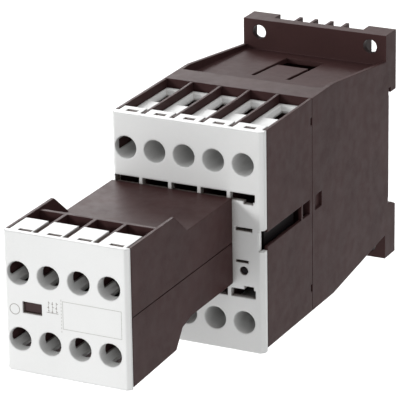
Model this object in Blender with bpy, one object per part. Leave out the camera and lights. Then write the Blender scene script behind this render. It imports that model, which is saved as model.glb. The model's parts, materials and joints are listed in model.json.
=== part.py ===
"""Din rail contactor with a clip-on auxiliary contact block, modelled piece by piece.

Sizes are in millimetres and become metres when a mesh is made. The origin is at the middle of
the rail seat. X runs to the right, Y from the front of the device to the panel, Z up.
"""

import math

import bmesh
import bpy
from mathutils import Vector

MM = 0.001

# ---- driving sizes ---------------------------------------------------------------------------
GAP = 0.3                   # clearance between pieces that touch
RUN = 0.6                   # clearance around pieces that slide
OVER = 1.0                  # how far a cutter reaches past the surface it opens
INTO = 0.5                  # how far a solid reaches into the one it joins

BODY_WIDTH = 45.0
TOP = 30.8                  # upper side of the housings
BOTTOM = -31.3              # lower side of the housings
MAGNET_DEPTH = 53.5         # rail seat to the seam between base and arc housing
ARC_DEPTH = 29.0            # seam to the rear edge of the front cover
SKIRT = 2.5                 # depth of the front cover's side skirts
AUX_DEPTH = 60.0            # contactor face to auxiliary face

COLUMNS = 5                 # terminals side by side
LEFT_INSET = 4.25           # first terminal axis from the left side
RIGHT_INSET = 5.75          # last terminal axis from the right side
UPPER_INSET = 9.6           # upper terminal axes below the top
LOWER_INSET = 7.4           # lower terminal axes above the bottom

STROKE = 4.5                # travel of the contact carrier
BRIDGE_TRAVEL = 2.7         # travel of a contact bridge until it closes
LATCH_TRAVEL = 2.5          # travel of the rail latch

# ---- housings --------------------------------------------------------------------------------
SIDE_WALL = 0.9             # side walls beside the terminals
RIB = 0.8                   # ribs between the terminals
RIB_SINK = 0.15             # the ribs' outer edges lie this far below the housing's sides
RIB_RAMP = 5.0              # length over which a rib rises to the rear wall
BACK_WALL = 1.5             # rear wall of the arc housing
WALL = 1.5                  # side walls of the base housing
REAR_WALL = 1.8
FLAT_BAND = 9.5             # flat band of the roof behind the seam
SHOULDER = 14.5             # seam to the edge where the sides start to slope
SLOPE_DROP = 4.6            # drop of the slope to the plate
ROOF_SINK = (2.2, 1.2)      # roof below the side walls, at the band and at the plate
ROOF_THICK = 1.6
ROOF_EDGE = 1.1             # side walls beside the sunk roof
GUIDE_LENGTH = 17.0         # ribs that hold the magnet core
GUIDE_HALF = 3.0
FLOOR_IN = 12.4             # floors between arc chambers and terminals
FLOOR_OUT = 13.8

# ---- mounting plate and rail -----------------------------------------------------------------
EAR_RISE = 3.2              # the ears stand this far above the housing
PLATE_FRONT = -2.3
FOOT = 5.0                  # the feet stand this far behind the rail seat
RAIL = 35.0                 # rail height
RAIL_EDGE = 1.0             # thickness of the rail's edge
SEAT_HALF = 15.5            # half height of the flat that the rail bears on
SEAT_STEP = 0.2             # step beside that flat
HOOK = 1.3                  # overlap of the hooks behind the rail
EAR_HOLE_RADIUS = 2.12
EAR_HOLE_X = 17.5
EAR_HOLE_INSET = 3.7        # ear hole axis from the plate's end
EAR_INNER = 14.0            # inner sides of the ears
EAR_THICK = 2.0             # the ears' plate around the holes
EAR_WALL = 0.9              # walls around the pocket behind each hole
EAR_POCKET = 4.8            # the pockets' lower ends from the hole axes
PRONG_X = (-7.35, -2.45, 2.45, 7.35)
PRONG = 1.0
NOTCH_FRONT = 1.0
NOTCH_LOW = RAIL / 2 + 3.5

# ---- rail latch ------------------------------------------------------------------------------
NOSE_WALL = 1.9             # wall beside the latch nose
NOSE_HEIGHT = 3.5           # nose below the rail's edge
NOSE_BEVEL = 0.7
LATCH_GRIP = 1.5            # overlap of the nose behind the rail
LATCH_TAB = 6.0             # half width of the pull tab
LATCH_WINDOW = 2.6          # half width of the spring's window in it
LATCH_FRONT = RAIL_EDGE + 0.2
LATCH_TAB_BACK = 3.6
LATCH_PLAY = 0.4
LATCH_COVER = 1.1           # wall behind the pull tab
LATCH_PULL = 2.5            # the tab's frame stands this far below the plate
SEAT_RISE = 3.0             # spring seat above the plate's lower end
LATCH_COIL = (0.85, 0.2)    # radius of the coil and of its wire

# ---- front cover -----------------------------------------------------------------------------
COVER_PLATE = 1.8
COVER_DROP = 1.0            # the cover reaches this far below the housings
COVER_SIDE = 1.2            # thickness of the skirts
CHAMFER = 1.0               # upright edges of the covers
COVER_STRIP = 6.0           # depth of the strip at full height behind the face
DRIVER_RADIUS = 3.25        # screwdriver holes
SIDE_GAP = 1.4              # half height of the gap in a shroud whose bore reaches its side
SHROUD_IN = 5.6             # shroud of a driver hole, from its axis towards the middle
MOUTH_DROP = 2.4            # wire mouths below the housing's upper or lower side
MOUTH_SHELF = 1.8           # thickness of the shelf around a wire mouth
MOUTH_HALF = 2.3
MOUTH_FLARE = 0.7
MOUTH_RIM = 1.2             # depth over which a mouth narrows
MOUTH_DEEP = 6.0
MOUTH_END = 2.8             # rear end of a mouth, from the seam
SHELF_END = 0.5
MARKER_HALF = 1.6           # half width of the marker slots
MARKER_DEPTH = 2.6
MARKER_PLACE = (2.2, 3.8)   # marker slots, from the face
MARKER_SHIFT = 0.4          # marker slots beside the middle of their bay
NOTCH_HALF = 3.0            # notches in the skirts
SLOT_BAR = 1.0              # bars between the slots of a row
SLOT_ENDS = (0.6, 2.3)      # a slot row from the left and the right side
SLOT_STEP = (3.4, 0.5)      # step in the last slot, from its right end
UPPER_SLOTS = (10.9, 13.1)
LOWER_SLOTS = (-16.7, -14.3)
STEP_DROPS = (0.8, 1.0)
HOOK_WIDTH = 6.0            # hooks that hold the auxiliary block
HOOK_SLOT = (7.7, 10.7)
COUPLING_HALF = 3.0         # half width of the carrier's coupling
COUPLING_ROOM = (3.4, 5.0)
VENTS = ((-2.4, 2.6, 2.4, 3.4), (-2.4, 1.4, -6.7, -5.9))    # from the last terminal axis
PIN_Z = -8.95               # position pin beside the last terminals
PIN_RADIUS = 0.9
PIN_PLAY = 0.35

# ---- side details ----------------------------------------------------------------------------
GROOVE_HALF = 2.1           # groove along the arc housing's sides
GROOVE_SPLIT = (7.0, 6.0)   # bridge across the groove, from the seam
SEAM_NOTCH = (0.5, 0.9, 1.1)    # inset, depth and half height of the notches at the seam
SEAM_NOTCH_Z = (6.4, 6.9)   # notches from the top and from the bottom
SIDE_WINDOW = (2.0, 6.5, 2.2, 0.8)  # start, end, half height and depth of the side windows
ROOF_TONGUE = (4.8, 6.0, 21.5, 36.5, 45.5)  # half widths, start, inner and outer end of its slot

# ---- terminals -------------------------------------------------------------------------------
BAR_PLACE = 6.1             # front face of the contact bars, from the seam
BAR_THICK = 1.2
BAR_HALF = 2.3
BAR_TIP = 5.0               # inner end of a contact bar from the middle
BAR_BEYOND = 2.8            # outer end of a contact bar from the screw axis
WIRE_SPACE = 6.4            # room for the wires between clamp plate and bar
CLAMP_THICK = 1.0
CLAMP_HALF = (2.6, 2.8)     # half width and half height of the clamp plate
HEAD_RADIUS = 2.6
HEAD_THICK = 2.6
HEAD_BEVEL = 0.5
SHANK_RADIUS = 1.5
SHANK_BEHIND = 1.8          # the screw ends this far behind the bar
RECESS = (1.7, 0.7, 1.4)    # arm, width and depth of the cross recess
BUTTON_RADIUS = 1.5
BUTTON_THICK = 0.8
BUTTON_Z = 8.0
COIL_HALF = 2.0             # half width of the coil terminals
COIL_LEG = 5.4              # coil terminal's leg from its screw axis, towards the middle
COIL_LEG_HALF = 0.6

# ---- contact carrier and magnet --------------------------------------------------------------
CARRIER_SETBACK = 4.2       # carrier's front behind the cover plate
CARRIER_HALF = 3.4
CARRIER_SIDE = 3.2          # carrier beside the outer poles
CARRIER_PLAY = 0.4
STEM_HALF = (6.0, 3.2)
BRIDGE_THICK = 1.0
BRIDGE_HALF = 2.1
BRIDGE_TIP = 9.6
BRIDGE_PLAY = 0.5           # bridge windows beside a bridge
SPRING_ROOM = 5.8           # room for a contact spring in front of a bridge
CARRIER_FOOT = (9.0, 12.0)  # half width and half height of the plate behind the armature
FOOT_THICK = 1.8
CLAW = (2.4, 1.5, 1.1, 1.4)     # width, thickness, lip thickness and lip length of the claws
TONGUE_HALF = 1.5           # half height of the coupling tongue
TONGUE_SETBACK = 0.5
COUPLING_GROOVE = (1.2, 2.8)    # groove in the tongue, from its front
GROOVE_Z = 0.3              # bottom of that groove
PIN_ARM = (1.1, 1.6)        # half width and thickness of the arm that carries the pin
CORE_HALF = (18.0, 6.0)
CORE_BACK = -2.1
CORE_DEPTH = 21.6
YOKE = 5.5
OUTER_LIMB = 6.0
CENTRE_LIMB = 9.0
ARMATURE_THICK = 5.7
BOBBIN_HALF = (11.6, 14.0)
BOBBIN_WALL = 1.0
BOBBIN_INSET = 1.5          # bobbin's front behind the core's pole faces
WINDING_INSET = (0.7, 0.8)
WINDING_CORNER = 2.0
RETURN_COIL = (2.2, 0.3)    # radius of the return springs and of their wire
RETURN_Z = 9.4

# ---- auxiliary block -------------------------------------------------------------------------
AUX_COLUMN_COUNT = 4
AUX_EDGE = 1.125            # right side beyond the last rib
AUX_TOP = 17.5
AUX_BOTTOM = -20.3
AUX_COVER_RISE = (0.1, 0.5)     # the cover beyond the housing, above and below
AUX_ROWS = (6.4, -11.8)
AUX_SEAM = -1.3
AUX_SKIRT = 1.5
AUX_RIB = 1.0
AUX_RIB_SINK = 0.6
NECK_TOP = 11.4
NECK_BOTTOM = -13.0
AUX_TONGUE = (10.5, 1.3)    # reach from the face and thickness of the cover's outer tongues
AUX_STRIP = (1.0, 3.6)      # solid strip behind the cover plate
AUX_SHROUD = (4.2, 4.0)     # shroud around a driver hole, inwards and outwards
RELIEF_START = 3.2          # openings in the driver holes' walls, from the face
RELIEF_HALF = 1.4
AUX_MARKER = (1.5, 3.0)
AUX_MARKER_HALF = 1.9
AUX_MARKER_SHIFT = 1.0
AUX_MARKER_DEPTH = 2.0
BAR_WALL = 18.0             # front of the cross wall behind the wire entries, from the face
CROSS_WALL = 1.2
CROSS_STEP = 2.2            # the ribs end this far behind the cross wall
APEX = 25.9                 # end of the side walls' full height, from the face
VALLEY = 33.4
LOWER_KNEE = (0.9, 1.4, 2.0)    # lower slope: rise at its start, height of its knee, run-out
SHELF = 1.4                 # shelf with the wire entry
SHELF_DROP = 3.6
ENTRY_HALF = 1.9
ENTRY_WALL = (0.6, 0.4)     # walls in front of and behind a wire entry
AUX_ROOF = 1.2
AUX_BAR_THICK = 1.0
AUX_BAR_HALF = 2.0
AUX_BAR_END = 3.0           # ends of an auxiliary terminal plate from its screw axis
AUX_WIRE_SPACE = 4.4
AUX_HEAD_THICK = 2.2
AUX_SCREW_SETBACK = 0.1     # the screws end this far in front of their plates' backs
AUX_LEG = 0.8               # thickness of the contact legs
AUX_TIP = 3.2               # length of the contact tips
AUX_CONTACT = 35.0          # contact tips from the face
AUX_BUTTON = 0.6
AUX_BUTTON_RADIUS = 1.0
AUX_BUTTON_INSET = 1.3
OPENERS = (1, 2)            # columns whose contacts open when the slider moves back
CONTACT_SPRING = 3.5        # room for the bridges' springs
HOOK_PLACE = (1.5, 1.3, 0.4, 1.2)   # height left in the slot, length, lip and bevel of a hook
WINDOW_X = (-17.2, -11.6)
WINDOW_Z = (-4.35, -1.2)
SLIDER_PLACE = (22.5, 43.5)     # front and rear end of the slider, from the face
SLIDER_HALF = 1.5
SLIDER_SIDE = 0.5
INDICATOR_SETBACK = 0.7
RIB_INSIDE = 3.0            # ribs end this far from the slider's middle plane
ARM_SIDE = 0.8              # slider's arm inside the coupling's width
ARM_Z = (1.9, 3.1)
ARM_TIP_Z = 0.6
ARM_LIFT = 0.4              # the arm's underside above the slider's
ARM_START = 2.0
ARM_BACK = 1.5

# ---- places that follow ----------------------------------------------------------------------
HALF = BODY_WIDTH / 2
PITCH = (BODY_WIDTH - LEFT_INSET - RIGHT_INSET) / (COLUMNS - 1)
COLUMN_X = [-HALF + LEFT_INSET + PITCH * index for index in range(COLUMNS)]
RIB_X = [x + PITCH / 2 for x in COLUMN_X[:-1]]
POLES = COLUMN_X[1:]
ROWS = ((1, TOP, TOP - UPPER_INSET), (-1, BOTTOM, BOTTOM + LOWER_INSET))
SEAM = -MAGNET_DEPTH
ARC_FRONT = SEAM - ARC_DEPTH + GAP
FACE = SEAM - ARC_DEPTH - SKIRT
PLATE_BACK = FACE + COVER_PLATE
INNER = HALF - SIDE_WALL
KNEE = SEAM + SHOULDER
BAND_BACK = SEAM + FLAT_BAND
PLATE_HALF = max(TOP, -BOTTOM - INTO) + EAR_RISE

BAR_FRONT = SEAM - BAR_PLACE
BAR_BACK = BAR_FRONT + BAR_THICK
CLAMP_BACK = BAR_FRONT - WIRE_SPACE
HEAD_FRONT = CLAMP_BACK - CLAMP_THICK - HEAD_THICK
BRIDGE_BACK = BAR_FRONT - 2 * BUTTON_THICK - GAP - BRIDGE_TRAVEL
BRIDGE_FRONT = BRIDGE_BACK - BRIDGE_THICK

CARRIER_FRONT = PLATE_BACK + CARRIER_SETBACK
CARRIER_REAR = SEAM - BACK_WALL - STROKE - GAP - CARRIER_PLAY
CORE_FRONT = CORE_BACK - CORE_DEPTH
ARMATURE_BACK = CORE_FRONT - GAP - STROKE
ARMATURE_FRONT = ARMATURE_BACK - ARMATURE_THICK
FOOT_FRONT = ARMATURE_FRONT - GAP - FOOT_THICK
BOBBIN_BACK = CORE_BACK - YOKE - GAP
BOBBIN_FRONT = CORE_FRONT + BOBBIN_INSET
COUPLING_X = (COLUMN_X[2] - COUPLING_HALF, COLUMN_X[2] + COUPLING_HALF)
TONGUE_FRONT = PLATE_BACK + TONGUE_SETBACK
GROOVE = [TONGUE_FRONT + place for place in COUPLING_GROOVE]
HOOK_X = (RIB_X[0] + SLOT_BAR + GAP / 2, RIB_X[0] + SLOT_BAR + GAP / 2 + HOOK_WIDTH)

NOSE_LOW = -RAIL / 2 - NOSE_HEIGHT
SPRING_SEAT = -PLATE_HALF + SEAT_RISE
LATCH_SPRING_Y = (LATCH_FRONT + LATCH_TAB_BACK) / 2

AUX_LEFT = -HALF
AUX_RIGHT = RIB_X[AUX_COLUMN_COUNT - 1] + AUX_EDGE
AUX_FACE = FACE - AUX_DEPTH
AUX_COLUMNS = COLUMN_X[:AUX_COLUMN_COUNT]
AUX_RIBS = RIB_X[:AUX_COLUMN_COUNT - 1]
AUX_INNER = (AUX_LEFT + SIDE_WALL, AUX_RIGHT - SIDE_WALL)
AUX_PLATE_BACK = AUX_FACE + COVER_PLATE
AUX_BODY_FRONT = AUX_FACE + AUX_SKIRT + GAP
AUX_WALL = AUX_FACE + BAR_WALL
AUX_BEHIND = AUX_WALL + CROSS_WALL
AUX_BAR_FRONT = AUX_WALL - GAP - AUX_BAR_THICK
AUX_CLAMP_BACK = AUX_BAR_FRONT - AUX_WIRE_SPACE
AUX_HEAD_FRONT = AUX_CLAMP_BACK - CLAMP_THICK - AUX_HEAD_THICK
AUX_TIP_Y = AUX_FACE + AUX_CONTACT
CENTRE_Z = (AUX_ROWS[0] + AUX_ROWS[1]) / 2
SLIDER_FRONT = AUX_FACE + SLIDER_PLACE[0]
SLIDER_REAR = AUX_FACE + SLIDER_PLACE[1]
ARM_X = (COUPLING_X[0] + ARM_SIDE, COUPLING_X[1] - ARM_SIDE)


def bays(left, ribs, right, thick):
    """The rooms between two side walls, parted by ribs."""
    lows = [left] + [x + thick / 2 for x in ribs]
    highs = [x - thick / 2 for x in ribs] + [right]
    return list(zip(lows, highs))


BAYS = bays(-INNER, RIB_X, INNER, RIB)
AUX_BAYS = bays(AUX_INNER[0], AUX_RIBS, AUX_INNER[1], AUX_RIB)

# ---- meshes ----------------------------------------------------------------------------------
AXES = {"X": (1, 2, 0), "Y": (0, 2, 1), "Z": (0, 1, 2)}


def rings(levels):
    """A closed solid through outlines of equal length, each given as a list of points."""
    count = len(levels[0])
    points = [point for level in levels for point in level]
    last = (len(levels) - 1) * count
    faces = [list(range(count)), list(range(last + count - 1, last - 1, -1))]
    for level in range(len(levels) - 1):
        for index in range(count):
            after = (index + 1) % count
            low, high = level * count, (level + 1) * count
            faces.append([low + index, high + index, high + after, low + after])
    return points, faces


def prism(outline, axis, start, end):
    """A closed solid: the outline, in the two other directions, pushed along the axis."""
    first, second, along = AXES[axis]
    levels = []
    for place in (start, end):
        level = []
        for u, v in outline:
            point = [0.0, 0.0, 0.0]
            point[first], point[second], point[along] = u, v, place
            level.append(point)
        levels.append(level)
    return rings(levels)


def block(xs, ys, zs):
    """A box from three pairs of places, each pair in either order."""
    (x0, x1), (y0, y1), (z0, z1) = sorted(xs), sorted(ys), sorted(zs)
    return prism([(x0, y0), (x1, y0), (x1, y1), (x0, y1)], "Z", z0, z1)


def circle(centre, radius, sides):
    turn = 2 * math.pi / sides
    angles = [turn * (index + 0.5) for index in range(sides)]
    return [(centre[0] + radius * math.cos(angle), centre[1] + radius * math.sin(angle)) for angle in angles]


def turned(centre, profile, sides):
    """A solid turned about a line along Y through (x, z), from (place, radius) pairs."""
    return rings([[(x, place, z) for x, z in circle(centre, radius, sides)] for place, radius in profile])


def rod(centre, radius, start, end, sides):
    return turned(centre, ((start, radius), (end, radius)), sides)


def coil(centre, radius, wire, start, end, turns, axis, sides):
    """A compression spring between start and end, its wire swept along a helix."""
    first, second, along = AXES[axis]
    steps = turns * 8
    levels = []
    for step in range(steps + 1):
        share = step / steps
        angle = 2 * math.pi * turns * share
        heart = start + wire + (end - start - 2 * wire) * share
        level = []
        for side in range(sides):
            around = 2 * math.pi * side / sides
            reach = radius + wire * math.cos(around)
            point = [0.0, 0.0, 0.0]
            point[first] = centre[0] + reach * math.cos(angle)
            point[second] = centre[1] + reach * math.sin(angle)
            point[along] = heart + wire * math.sin(around)
            level.append(point)
        levels.append(level)
    return rings(levels)


def flip(points, side):
    """The outline itself for the upper side, mirrored about z = 0 for the lower side."""
    return [(u, side * v) for u, v in points]


def mesh_of(name, solids, origin):
    """One mesh from closed solids, each turned so that its faces point out."""
    mesh = bpy.data.meshes.new(name)
    shape = bmesh.new()
    for points, faces in solids:
        verts = [shape.verts.new((Vector(point) - Vector(origin)) * MM) for point in points]
        made = [shape.faces.new([verts[index] for index in face]) for face in faces]
        bmesh.ops.recalc_face_normals(shape, faces=made)
    shape.to_mesh(mesh)
    shape.free()
    return mesh


# ---- materials -------------------------------------------------------------------------------
FINISHES = {
    "housing_plastic": ((0.060, 0.037, 0.036), 0.45, 0.0),
    "cover_plastic": ((0.74, 0.76, 0.74), 0.42, 0.0),
    "carrier_plastic": ((0.03, 0.03, 0.033), 0.5, 0.0),
    "slider_plastic": ((0.09, 0.06, 0.06), 0.5, 0.0),
    "bobbin_plastic": ((0.55, 0.50, 0.38), 0.5, 0.0),
    "copper_winding": ((0.60, 0.27, 0.12), 0.35, 0.6),
    "core_steel": ((0.38, 0.38, 0.40), 0.4, 1.0),
    "screw_steel": ((0.62, 0.62, 0.60), 0.3, 1.0),
    "contact_brass": ((0.72, 0.55, 0.28), 0.3, 1.0),
    "spring_steel": ((0.55, 0.55, 0.56), 0.3, 1.0),
}
SMOOTH_BELOW = math.radians(35)


def make_material(name):
    colour, roughness, metallic = FINISHES[name]
    material = bpy.data.materials.new(name)
    material.use_nodes = True
    shader = material.node_tree.nodes["Principled BSDF"]
    shader.inputs["Base Color"].default_value = (*colour, 1.0)
    shader.inputs["Roughness"].default_value = roughness
    shader.inputs["Metallic"].default_value = metallic
    return material


# ---- objects ---------------------------------------------------------------------------------
def link(obj, parent):
    bpy.context.scene.collection.objects.link(obj)
    obj.parent = parent
    if parent is not None:
        obj.location = obj.location - parent.location


def empty(name, place, parent=None):
    obj = bpy.data.objects.new(name, None)
    obj.location = Vector(place) * MM
    link(obj, parent)
    return obj


def piece(name, finish, solid, parent, origin=(0.0, 0.0, 0.0)):
    """A sub-part: one object with its own material, its origin at the given place."""
    obj = bpy.data.objects.new(name, mesh_of(name, [solid], origin))
    obj.data.shade_smooth()
    obj.data.set_sharp_from_angle(angle=SMOOTH_BELOW)
    obj.data.materials.append(MATERIALS[finish])
    obj.location = Vector(origin) * MM
    link(obj, parent)
    return obj


def combine(obj, operation, label, solids):
    """Adds solids to a piece or cuts them from it, through a hidden helper and a Boolean."""
    name = f"{obj.name}_{label}"
    helper = bpy.data.objects.new(name, mesh_of(name, solids, (0, 0, 0)))
    helper.hide_render = True
    helper.display_type = "WIRE"
    bpy.context.scene.collection.objects.link(helper)
    step = obj.modifiers.new(label, "BOOLEAN")
    step.operation = operation
    step.solver = "EXACT"
    step.use_self = len(solids) > 1
    step.object = helper


def cut(obj, label, solids):
    combine(obj, "DIFFERENCE", label, solids)


def add(obj, label, solids):
    combine(obj, "UNION", label, solids)


# ---- base housing ----------------------------------------------------------------------------
def base_housing(parent):
    """A tray open to the front, with sloped roofs, ears for screws and a channel for the rail."""
    slot = RAIL / 2 + GAP
    hook_low, hook_front = RAIL / 2 - HOOK, RAIL_EDGE + GAP
    outline = [
        (SEAM + GAP, TOP), (KNEE, TOP), (PLATE_FRONT, TOP - SLOPE_DROP), (PLATE_FRONT, PLATE_HALF),
        (FOOT, PLATE_HALF), (FOOT, hook_low), (hook_front, hook_low), (hook_front, slot),
        (-SEAT_STEP, slot), (-SEAT_STEP, SEAT_HALF), (0, SEAT_HALF), (0, -SEAT_HALF), (-SEAT_STEP, -SEAT_HALF),
        (-SEAT_STEP, -slot), (RAIL_EDGE + HOOK, -slot), (FOOT, -slot - HOOK), (FOOT, -PLATE_HALF),
        (PLATE_FRONT, -PLATE_HALF), (PLATE_FRONT, BOTTOM + SLOPE_DROP), (KNEE, BOTTOM), (SEAM + GAP, BOTTOM),
    ]
    housing = piece("base_housing", "housing_plastic", prism(outline, "X", -HALF, HALF), parent)

    cavity, sinks = [], []
    inner, above = HALF - WALL, PLATE_HALF + OVER
    for side, edge, _ in ROWS:
        at_band = edge - side * ROOF_SINK[0]
        at_plate = edge - side * (SLOPE_DROP + ROOF_SINK[1])
        under = side * ROOF_THICK
        half = [(SEAM - OVER, at_band - under), (BAND_BACK, at_band - under), (-REAR_WALL, at_plate - under)]
        cavity += half if side > 0 else half[::-1]
        sinks.append([(BAND_BACK, at_band), (BAND_BACK, side * above), (PLATE_FRONT, side * above),
                      (PLATE_FRONT, at_plate)])
    cut(housing, "cavity", [prism(cavity, "X", -inner, inner)])
    edge = HALF - ROOF_EDGE
    cut(housing, "sunk_roofs", [prism(sink, "X", -edge, edge) for sink in sinks])

    guide = ((-REAR_WALL - GUIDE_LENGTH, -REAR_WALL + INTO), (-GUIDE_HALF, GUIDE_HALF))
    near, far = CORE_HALF[0] + GAP, inner + INTO
    add(housing, "core_guides", [block((near, far), *guide), block((-near, -far), *guide)])

    hole_z = PLATE_HALF - EAR_HOLE_INSET
    centres = [(x, z) for x in (-EAR_HOLE_X, EAR_HOLE_X) for z in (-hole_z, hole_z)]
    ends = (PLATE_FRONT - OVER, FOOT + OVER)
    cut(housing, "ear_holes", [rod(centre, EAR_HOLE_RADIUS, *ends, 20) for centre in centres])

    pockets = []
    for side in (-1, 1):
        for up in (-1, 1):
            across = (side * (EAR_INNER + EAR_WALL), side * (HALF - EAR_WALL))
            height = (up * (hole_z - EAR_POCKET), up * (PLATE_HALF - EAR_WALL))
            pockets.append(block(across, (PLATE_FRONT + EAR_THICK, FOOT + OVER), height))
    cut(housing, "ear_pockets", pockets)

    notches = bays(-EAR_INNER, PRONG_X, EAR_INNER, PRONG)
    depth, height = (NOTCH_FRONT, FOOT + OVER), (NOTCH_LOW, PLATE_HALF + OVER)
    cut(housing, "ear_notches", [block(notch, depth, height) for notch in notches])
    latch_rooms(housing, slot)

    narrow, wide, start, inner_end, outer_end = ROOF_TONGUE
    tongue = [(-wide, start), (-narrow, start), (-narrow, inner_end), (narrow, inner_end),
              (narrow, start), (wide, start), (wide, outer_end), (-wide, outer_end)]
    outline = [(x, SEAM + y) for x, y in tongue]
    cut(housing, "spring_tongue", [prism(outline, "Z", TOP / 2, TOP)])

    start, end, half, depth = SIDE_WINDOW
    cut(housing, "side_windows", [
        block((side * (HALF - depth), side * (HALF + OVER)), (SEAM + start, SEAM + end), (-half, half))
        for side in (-1, 1)
    ])


def latch_rooms(housing, slot):
    """Room behind the plate for the latch's nose, its pull tab and its spring."""
    nose = HALF - NOSE_WALL
    nose_floor = NOSE_LOW - LATCH_TRAVEL - RUN
    tab = LATCH_TAB + LATCH_PLAY
    leg = LATCH_WINDOW - GAP
    front = RAIL_EDGE - (RUN - INTO)
    depth = (front, FOOT - LATCH_COVER)
    below = (-PLATE_HALF - OVER, SPRING_SEAT + INTO)
    cut(housing, "latch_nose_room", [block((-nose, nose), (front, FOOT + OVER), (nose_floor, -slot + INTO))])
    cut(housing, "latch_tab_room", [
        block((-tab, tab), depth, (SPRING_SEAT, nose_floor + INTO)),
        block((-tab, -leg), depth, below),
        block((leg, tab), depth, below),
    ])


# ---- rail latch ------------------------------------------------------------------------------
def rail_latch(parent):
    """A wide nose behind the rail's lower edge, on a pull tab that reaches below the plate."""
    back = FOOT - RUN + LATCH_PLAY
    outline = [
        (LATCH_FRONT, NOSE_LOW), (back, NOSE_LOW),
        (back, -RAIL / 2 - NOSE_BEVEL), (LATCH_FRONT, -RAIL / 2 + LATCH_GRIP),
    ]
    reach = HALF - NOSE_WALL - GAP
    place = (0.0, LATCH_FRONT, NOSE_LOW)
    latch = piece("rail_latch", "slider_plastic", prism(outline, "X", -reach, reach), parent, place)
    high, low = NOSE_LOW + INTO, -PLATE_HALF - GAP
    frame = [
        (-LATCH_TAB, high), (-LATCH_TAB, low - LATCH_PULL), (LATCH_TAB, low - LATCH_PULL), (LATCH_TAB, high),
        (LATCH_WINDOW, high), (LATCH_WINDOW, low), (-LATCH_WINDOW, low), (-LATCH_WINDOW, high),
    ]
    add(latch, "tab", [prism(frame, "Y", LATCH_FRONT, LATCH_TAB_BACK)])


def rail_latch_spring(parent):
    centre = (0.0, LATCH_SPRING_Y)
    spring = coil(centre, *LATCH_COIL, SPRING_SEAT + GAP, NOSE_LOW - GAP, 6, "Z", 3)
    piece("rail_latch_spring", "spring_steel", spring, parent, (*centre, SPRING_SEAT))


# ---- arc housing -----------------------------------------------------------------------------
def arc_housing(parent):
    """The middle moulding: five terminal bays above and below, arc chambers between them."""
    shell = block((-HALF, HALF), (ARC_FRONT, SEAM), (BOTTOM, TOP))
    housing = piece("arc_housing", "housing_plastic", shell, parent)
    front, wall, back = ARC_FRONT - OVER, SEAM - BACK_WALL, SEAM + OVER
    slot = (BAR_FRONT - GAP, BAR_BACK + GAP)
    sill = MOUTH_DROP + MOUTH_SHELF + GAP
    upper = [
        (front, FLOOR_OUT), (front, TOP + OVER), (back, TOP + OVER), (back, TOP - sill), (wall, TOP - sill),
        (wall, FLOOR_OUT), (slot[1], FLOOR_OUT), (slot[1], FLOOR_IN), (wall, FLOOR_IN),
    ]
    lower = [
        (wall, -FLOOR_IN), (slot[1], -FLOOR_IN), (slot[1], -FLOOR_OUT), (wall, -FLOOR_OUT),
        (wall, BOTTOM + sill), (back, BOTTOM + sill), (back, BOTTOM - OVER), (front, BOTTOM - OVER),
        (front, -FLOOR_OUT), (slot[0], -FLOOR_OUT), (slot[0], -FLOOR_IN), (front, -FLOOR_IN),
    ]
    fore = [(front, FLOOR_IN), (slot[0], FLOOR_IN), (slot[0], FLOOR_OUT)]
    cut(housing, "bays", [prism(upper + lower + fore, "X", *bay) for bay in BAYS])

    tops = []
    for side, edge, _ in ROWS:
        sunk, beyond = edge - side * RIB_SINK, edge + side * OVER
        outline = [(front, sunk), (wall - RIB_RAMP, sunk), (wall, edge), (wall, beyond), (front, beyond)]
        tops.append(prism(outline, "X", -INNER, INNER))
    cut(housing, "rib_edges", tops)

    passage = CARRIER_HALF + CARRIER_PLAY
    reach = (POLES[0], POLES[-1])
    cut(housing, "carrier_passage", [block(reach, (front, wall - GAP), (-passage, passage))])
    opening = STEM_HALF[0] + RUN
    ways = [block((-opening, opening), (wall - OVER, back), (-passage, passage))]
    beside, room = COIL_HALF + GAP, COIL_LEG_HALF + GAP
    for side, _, row in ROWS:
        x, leg = COLUMN_X[0], row - side * COIL_LEG
        ways.append(block((x - beside, x + beside), (wall - OVER, back), (leg - room, leg + room)))
    cut(housing, "back_openings", ways)
    cut(housing, "side_grooves", side_grooves())


def side_grooves():
    """A groove along each side, in two lengths, and small notches at the seam."""
    grooves = []
    inset, depth, half = SEAM_NOTCH
    lengths = ((ARC_FRONT - OVER, SEAM - GROOVE_SPLIT[0]), (SEAM - GROOVE_SPLIT[1], SEAM - BACK_WALL))
    for side in (-1, 1):
        through = (side * (INNER - INTO), side * (HALF + OVER))
        shallow = (side * (HALF - inset), side * (HALF + OVER))
        for length in lengths:
            grooves.append(block(through, length, (-GROOVE_HALF, GROOVE_HALF)))
        for z in (TOP - SEAM_NOTCH_Z[0], BOTTOM + SEAM_NOTCH_Z[1]):
            grooves.append(block(shallow, (SEAM - depth, SEAM + OVER), (z - half, z + half)))
    return grooves


# ---- front cover -----------------------------------------------------------------------------
def driver_hole(x, z, bay, face, end):
    """The driver hole, and a gap in the shroud's side where the hole reaches it."""
    solids = [rod((x, z), DRIVER_RADIUS, face - OVER, end, 20)]
    height = (z - SIDE_GAP, z + SIDE_GAP)
    depth = (face + COVER_PLATE, end)
    if x - DRIVER_RADIUS < bay[0] + 2 * GAP:
        solids.append(block((bay[0], x), depth, height))
    if x + DRIVER_RADIUS > bay[1] - 2 * GAP:
        solids.append(block((x, bay[1]), depth, height))
    return solids


def mouth_cutter(bay, side, limit):
    """A wire mouth that narrows inwards, through the shelf behind a driver hole."""
    middle = (bay[0] + bay[1]) / 2
    front, back = CLAMP_BACK, SEAM - MOUTH_END
    levels = []
    for z, grow in ((limit + GAP, MOUTH_FLARE), (limit - MOUTH_RIM, 0.0), (limit - MOUTH_DEEP, 0.0)):
        reach = MOUTH_HALF + grow
        corners = [(-reach, front - grow), (reach, front - grow), (reach, back + grow), (-reach, back + grow)]
        levels.append([(middle + x, y, side * z) for x, y in corners])
    return rings(levels)


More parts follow.
